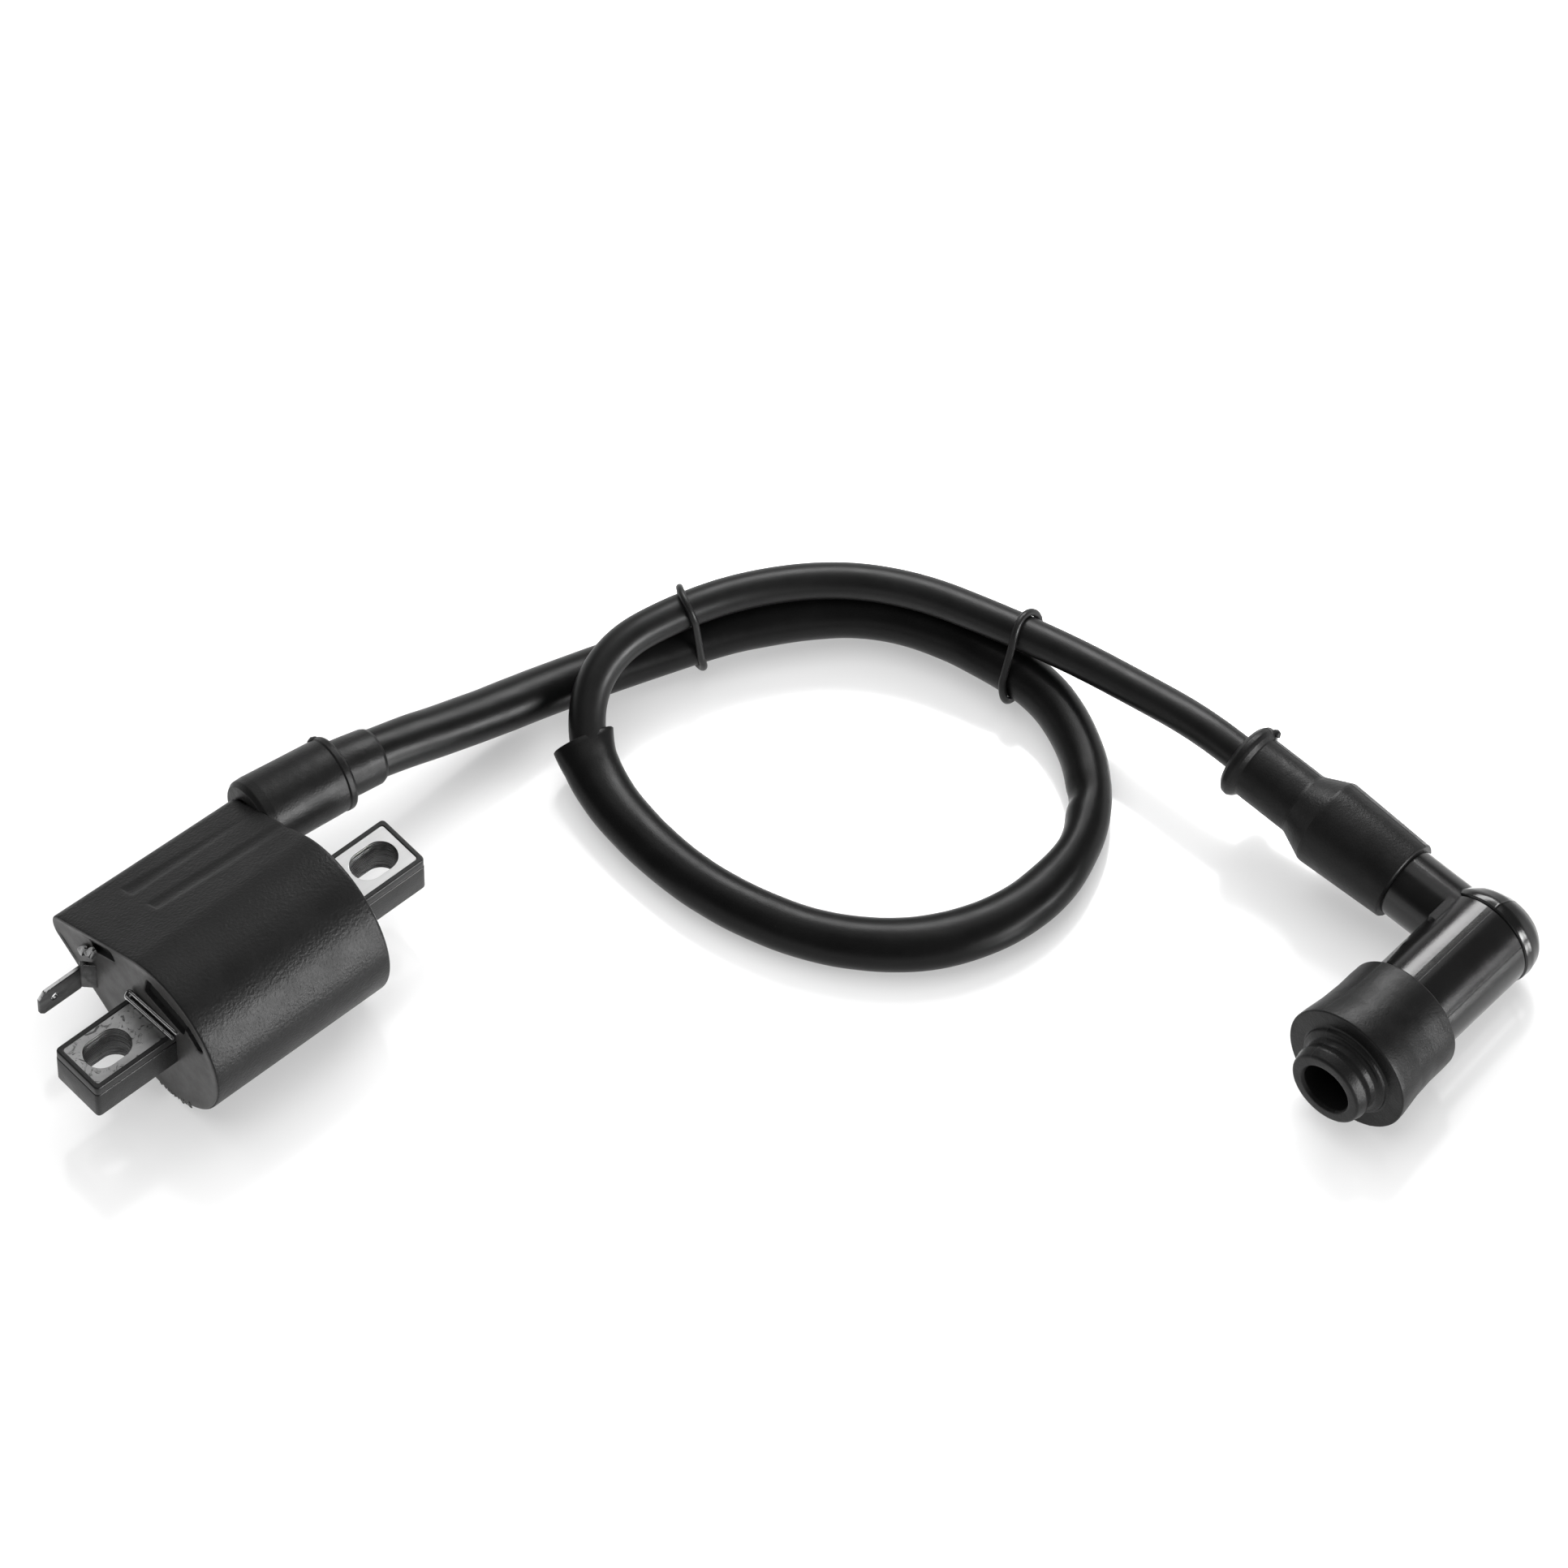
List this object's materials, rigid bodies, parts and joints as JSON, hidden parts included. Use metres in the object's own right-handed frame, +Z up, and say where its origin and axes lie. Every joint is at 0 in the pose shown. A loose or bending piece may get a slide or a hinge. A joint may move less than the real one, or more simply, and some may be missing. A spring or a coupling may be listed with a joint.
{
  "type": "ignition coil",
  "caption": "Small-engine ignition coil with slotted mounting ears, a spade terminal, a looped high-tension lead and a right-angle spark plug cap.",
  "frame": {"origin": "on the ground under the middle of the coil, without its lead and cap", "axes": "+X along the core bar towards the ear beside the lead tower, +Y towards the casing's narrow side, +Z up through the mounting slots"},
  "size_m": [0.2264, 0.1921, 0.0342],
  "materials": {
    "casing_plastic": "matte",
    "resin": "matte",
    "core_steel": "brushed",
    "cover_plastic": "satin",
    "bobbin_plastic": "matte",
    "copper_wire": "satin",
    "insulation_film": "gloss",
    "tinned_steel": "satin",
    "solder": "satin",
    "brass": "satin",
    "boot_rubber": "matte",
    "jacket_silicone": "satin",
    "sleeve_vinyl": "satin",
    "ring_rubber": "satin",
    "cap_phenolic": "gloss",
    "spring_steel": "satin",
    "resistor_ceramic": "matte"
  },
  "bodies": {
    "coil": {"casing": "casing_plastic", "potting_resin": "resin", "core_laminations": "core_steel", "ear_cover_near": "cover_plastic", "ear_cover_far": "cover_plastic", "primary_bobbin": "bobbin_plastic", "primary_winding": "copper_wire", "layer_insulation": "insulation_film", "secondary_bobbin": "bobbin_plastic", "secondary_winding": "copper_wire", "ground_clip": "tinned_steel", "spade_terminal": "tinned_steel", "solder_joint": "solder", "ht_terminal": "brass", "ht_link": "copper_wire", "tower_boot": "boot_rubber", "exit_bush": "boot_rubber", "lead_conductor": "copper_wire", "lead_jacket": "jacket_silicone", "lead_sleeve": "sleeve_vinyl", "lead_ring_near": "ring_rubber", "lead_ring_far": "ring_rubber"},
    "cap": {"cap_body": "cap_phenolic", "cap_end_dome": "cap_phenolic", "plug_boot": "boot_rubber", "lead_boot": "boot_rubber", "elbow_contact": "brass", "cable_screw": "brass", "contact_spring": "spring_steel", "resistor": "resistor_ceramic", "resistor_caps": "brass", "plug_terminal": "brass", "terminal_clip": "spring_steel"}
  },
  "joints": [
    {"name": "cap_turn", "type": "hinge", "parent": "coil", "child": "cap", "pos_m": [0.17831, -0.14791, 0.0105], "axis": [-0.1423, 0.9834, 0.1129], "range_deg": [-180, 180]}
  ]
}
